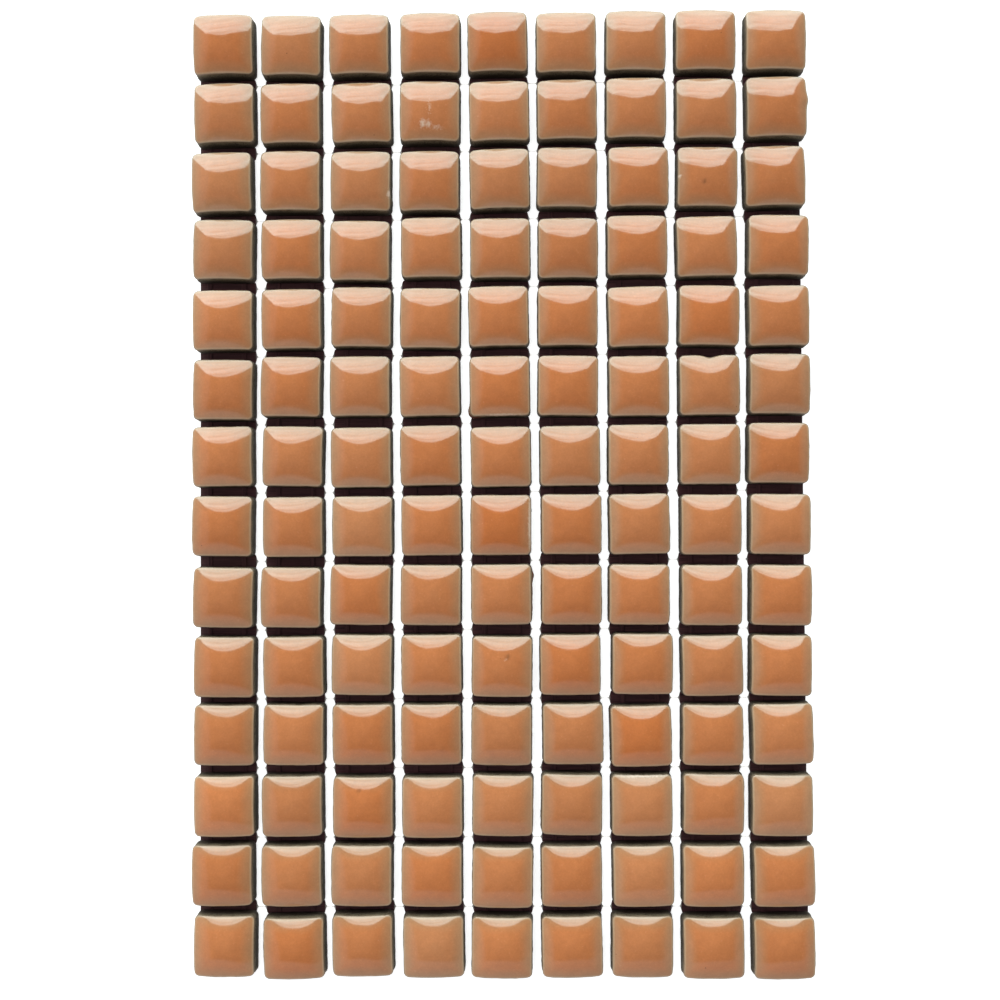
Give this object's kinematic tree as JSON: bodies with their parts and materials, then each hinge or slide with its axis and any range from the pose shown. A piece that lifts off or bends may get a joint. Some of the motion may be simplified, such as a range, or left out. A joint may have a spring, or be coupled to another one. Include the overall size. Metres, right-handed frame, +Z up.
{
  "type": "ceramic mosaic tile sheet",
  "caption": "Flat sheet of small square pillow-faced tiles in an orange-tan gloss glaze, set in rows and columns on a woven glass-fibre net, to be glued to a wall and grouted.",
  "frame": {"origin": "under the middle of the sheet, on the plane that the net rests on", "axes": "+X across the columns of tiles, +Y along the columns, +Z up out of the glazed faces"},
  "size_m": [0.1002, 0.156, 0.0052],
  "materials": {
    "glazed_tile": "gloss glaze over sand-coloured clay",
    "glass_fibre_net": "coated brown yarn"
  },
  "bodies": {
    "root": {"tile_column_1": "glazed_tile", "tile_column_2": "glazed_tile", "tile_column_3": "glazed_tile", "tile_column_4": "glazed_tile", "tile_column_5": "glazed_tile", "tile_column_6": "glazed_tile", "tile_column_7": "glazed_tile", "tile_column_8": "glazed_tile", "tile_column_9": "glazed_tile", "net_weft": "glass_fibre_net", "net_warp": "glass_fibre_net"}
  },
  "joints": []
}
